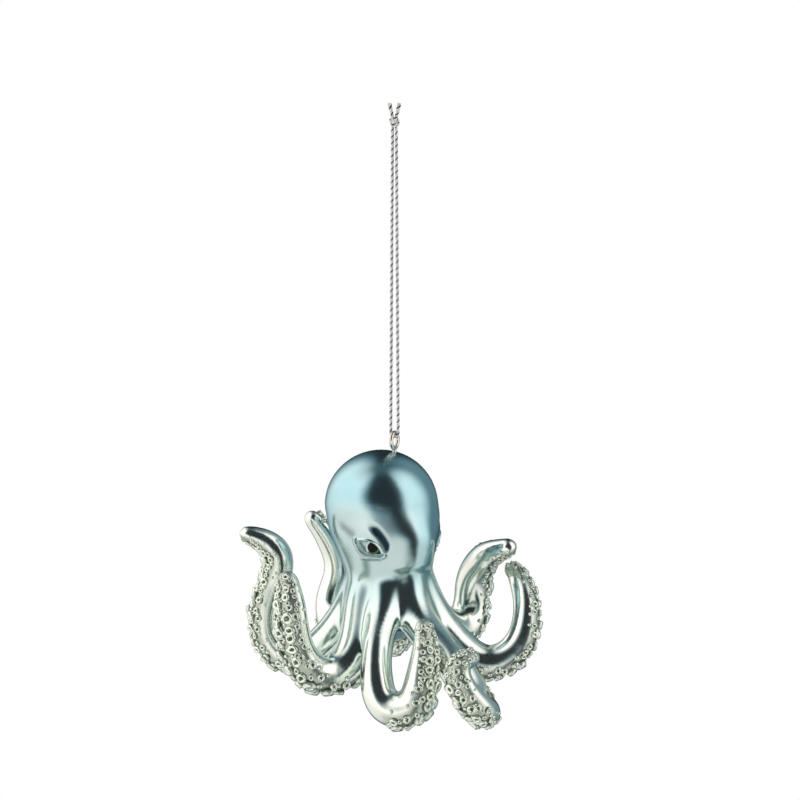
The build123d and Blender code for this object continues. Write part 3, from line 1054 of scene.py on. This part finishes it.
def make_surround():
    """White surround, with tall softboxes and dark gaps between them in its reflections.

    In degrees, turn is 0 towards the camera and grows to its right, and rise is 0 on the level.
    """
    world = bpy.data.worlds.new("studio")
    bpy.context.scene.world = world
    tree = Tree(world)
    way = tree.add("ShaderNodeTexCoord", out="Generated")
    parts = {axis: tree.add("ShaderNodeSeparateXYZ", sockets={"Vector": way}, out=axis) for axis in "XYZ"}
    turn = parts["X"].math("ARCTAN2", parts["X"], 0 - parts["Y"]) * (180 / pi)
    rise = parts["Z"].math("ARCSINE", parts["Z"]) * (180 / pi)
    level = (0.9 + 0.46 * rise.ramp(-35.0, 25.0)) * (1 - 0.7 * rise.ramp(42.0, 86.0))
    sides = turn.ramp(-178.0, -122.0) * (1 - 0.76 * turn.ramp(84.0, 128.0))
    boxes = level * (sides * (1 - turn.ramp(146.0, 174.0)))
    slope = rise + 0.45 * turn
    front = turn.ramp(-58.0, -24.0) * (1 - turn.ramp(28.0, 56.0)) * slope.ramp(-20.0, 10.0)
    gap = turn.ramp(10.0, 26.0) * (1 - turn.ramp(40.0, 56.0)) * rise.ramp(-84.0, -60.0)
    lit = boxes * (1 - front.math("MAXIMUM", front, gap))
    cap = rise.ramp(66.0, 84.0)
    glow = (0.014 + lit) * (1 - cap) + 0.13 * cap
    tint = tree.mix(lit.ramp(0.0, 1.0), colour(0.5, 0.85, 1.0), colour(1.0, 0.93, 0.9))
    camera_ray = tree.add("ShaderNodeLightPath", out="Is Camera Ray")
    glossy_ray = tree.add("ShaderNodeLightPath", out="Is Glossy Ray")
    reflected = tree.add("ShaderNodeBackground", sockets={"Color": tint, "Strength": 1.08 * glow})
    even = tree.add("ShaderNodeBackground", sockets={"Color": colour(1, 1, 1), "Strength": 0.9})
    white = tree.add("ShaderNodeBackground", sockets={"Color": colour(1, 1, 1), "Strength": 1.0})
    unseen = tree.add("ShaderNodeMixShader", sockets={0: glossy_ray, 1: even, 2: reflected})
    seen = tree.add("ShaderNodeMixShader", sockets={0: camera_ray, 1: unseen, 2: white})
    tree.add("ShaderNodeOutputWorld", sockets={"Surface": seen})


def make_floor():
    """Pale floor below, kept out of the reflections."""
    bm = bmesh.new()
    place = Matrix.Translation((0, 0, -FLOOR_DROP))
    bmesh.ops.create_circle(bm, cap_ends=True, segments=64, radius=FLOOR_RADIUS, matrix=place)
    mesh = bpy.data.meshes.new("floor")
    bm.to_mesh(mesh)
    bm.free()
    material, tree = new_material("pale_floor")
    pale = tree.mix(tree.noise(3.0), colour(0.93, 0.93, 0.93), colour(0.96, 0.96, 0.96))
    tree.surface(Base_Color=pale, Roughness=0.8)
    mesh.materials.append(material)
    floor = make_object("floor", mesh)
    floor.visible_glossy = False


def make_camera():
    """Camera a little above the ornament, looking slightly down."""
    data = bpy.data.cameras.new("camera")
    data.lens = 139.5
    data.sensor_width = 36.0
    data.clip_start = 0.01
    data.clip_end = 50.0
    camera = make_object("camera", data)
    away = Vector((0, -cos(CAMERA_PITCH), sin(CAMERA_PITCH)))
    camera.location = CAMERA_TARGET + away * CAMERA_DISTANCE
    camera.rotation_euler = (pi / 2 - CAMERA_PITCH, 0, 0)
    bpy.context.scene.camera = camera


def dress_screw_eye():
    """Plated wire on the screw eye's own shape."""
    materials = bpy.data.objects["screw_eye"].data.materials
    materials.clear()
    materials.append(WIRE)


make_camera()
make_cord()
make_octopus()
make_eye("right_eye", FACE_TURN - EYE_SIDE)
make_eye("left_eye", FACE_TURN + EYE_SIDE)
dress_screw_eye()
make_surround()
make_floor()
bpy.context.scene.view_settings.view_transform = "Standard"
